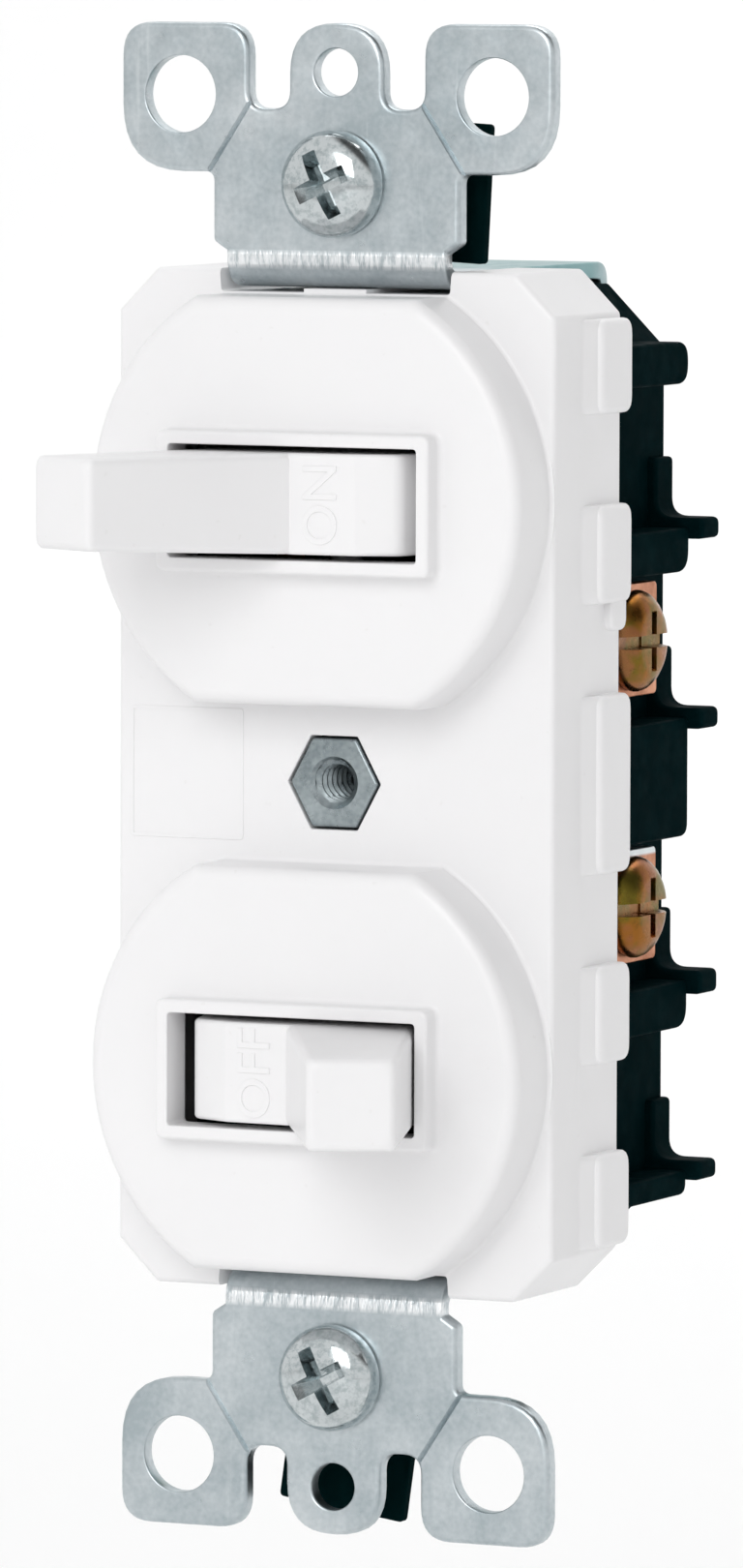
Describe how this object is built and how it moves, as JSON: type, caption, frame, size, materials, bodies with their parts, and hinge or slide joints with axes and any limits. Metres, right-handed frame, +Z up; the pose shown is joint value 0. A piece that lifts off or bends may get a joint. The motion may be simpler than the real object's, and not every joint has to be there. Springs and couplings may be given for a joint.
{
  "type": "combination toggle wall switch",
  "caption": "Duplex-style wall switch: sideways-swinging toggles stacked in a white cover, on a wrap-around steel strap with mounting ears, over a dark base with side terminal screws.",
  "frame": {"origin": "centre of the device on its mounting plane, which is the rear face of the strap's ears", "axes": "+X to the right seen from the front, +Y back into the wall, +Z up along the strap"},
  "size_m": [0.0358, 0.0501, 0.1056],
  "materials": {
    "mounting_strap": "zinc-plated sheet steel, satin, scuffed at the bends",
    "front_cover": "white thermoplastic, fine satin",
    "rear_base": "near-black moulded thermoset, satin",
    "centre_post": "zinc-plated steel, satin",
    "toggle_upper": "white thermoplastic, satin",
    "plunger_upper": "natural nylon",
    "toggle_spring_upper": "spring steel wire",
    "contact_rocker_upper": "plain brass strip",
    "moving_contact_upper": "silver contact button",
    "fixed_contact_upper": "silver contact button",
    "terminal_plate_right_upper": "copper-coloured stamped brass",
    "terminal_screw_right_upper": "yellow chromate on steel, iridescent",
    "terminal_plate_left_upper": "copper-coloured stamped brass",
    "terminal_screw_left_upper": "yellow chromate on steel, iridescent",
    "toggle_lower": "white thermoplastic, satin",
    "plunger_lower": "natural nylon",
    "toggle_spring_lower": "spring steel wire",
    "contact_rocker_lower": "plain brass strip",
    "moving_contact_lower": "silver contact button",
    "fixed_contact_lower": "silver contact button",
    "terminal_plate_right_lower": "copper-coloured stamped brass",
    "terminal_screw_right_lower": "yellow chromate on steel, iridescent",
    "terminal_plate_left_lower": "copper-coloured stamped brass",
    "terminal_screw_left_lower": "yellow chromate on steel, iridescent",
    "mounting_screw_top": "zinc-plated steel, bright",
    "screw_retainer_top": "dark vulcanised fibre, matt",
    "mounting_screw_bottom": "zinc-plated steel, bright",
    "screw_retainer_bottom": "dark vulcanised fibre, matt",
    "ground_screw": "green-dyed plated steel"
  },
  "bodies": {
    "housing": {"mounting_strap": "mounting_strap", "front_cover": "front_cover", "rear_base": "rear_base", "centre_post": "centre_post", "fixed_contact_upper": "fixed_contact_upper", "terminal_plate_right_upper": "terminal_plate_right_upper", "terminal_screw_right_upper": "terminal_screw_right_upper", "terminal_plate_left_upper": "terminal_plate_left_upper", "terminal_screw_left_upper": "terminal_screw_left_upper", "fixed_contact_lower": "fixed_contact_lower", "terminal_plate_right_lower": "terminal_plate_right_lower", "terminal_screw_right_lower": "terminal_screw_right_lower", "terminal_plate_left_lower": "terminal_plate_left_lower", "terminal_screw_left_lower": "terminal_screw_left_lower", "mounting_screw_top": "mounting_screw_top", "screw_retainer_top": "screw_retainer_top", "mounting_screw_bottom": "mounting_screw_bottom", "screw_retainer_bottom": "screw_retainer_bottom", "ground_screw": "ground_screw"},
    "upper_toggle": {"toggle_upper": "toggle_upper", "plunger_upper": "plunger_upper", "toggle_spring_upper": "toggle_spring_upper"},
    "lower_toggle": {"toggle_lower": "toggle_lower", "plunger_lower": "plunger_lower", "toggle_spring_lower": "toggle_spring_lower"},
    "upper_rocker": {"contact_rocker_upper": "contact_rocker_upper", "moving_contact_upper": "moving_contact_upper"},
    "lower_rocker": {"contact_rocker_lower": "contact_rocker_lower", "moving_contact_lower": "moving_contact_lower"}
  },
  "joints": [
    {"name": "upper_toggle_swing", "type": "hinge", "parent": "housing", "child": "upper_toggle", "pos_m": [0, 0.0016, 0.0198], "axis": [0, 0, 1], "range_deg": [0, 51]},
    {"name": "lower_toggle_swing", "type": "hinge", "parent": "housing", "child": "lower_toggle", "pos_m": [0, 0.0016, -0.0198], "axis": [0, 0, 1], "range_deg": [-51, 0]},
    {"name": "upper_rocker_tilt", "type": "hinge", "parent": "housing", "child": "upper_rocker", "pos_m": [0, 0.00875, 0.0198], "axis": [0, 0, 1], "range_deg": [-12.75, 0]},
    {"name": "lower_rocker_tilt", "type": "hinge", "parent": "housing", "child": "lower_rocker", "pos_m": [0, 0.00875, -0.0198], "axis": [0, 0, 1], "range_deg": [0, 12.75]}
  ],
  "couplings": [
    {"joint": "upper_rocker_tilt", "follows": "upper_toggle_swing", "ratio": -0.25},
    {"joint": "lower_rocker_tilt", "follows": "lower_toggle_swing", "ratio": -0.25}
  ]
}
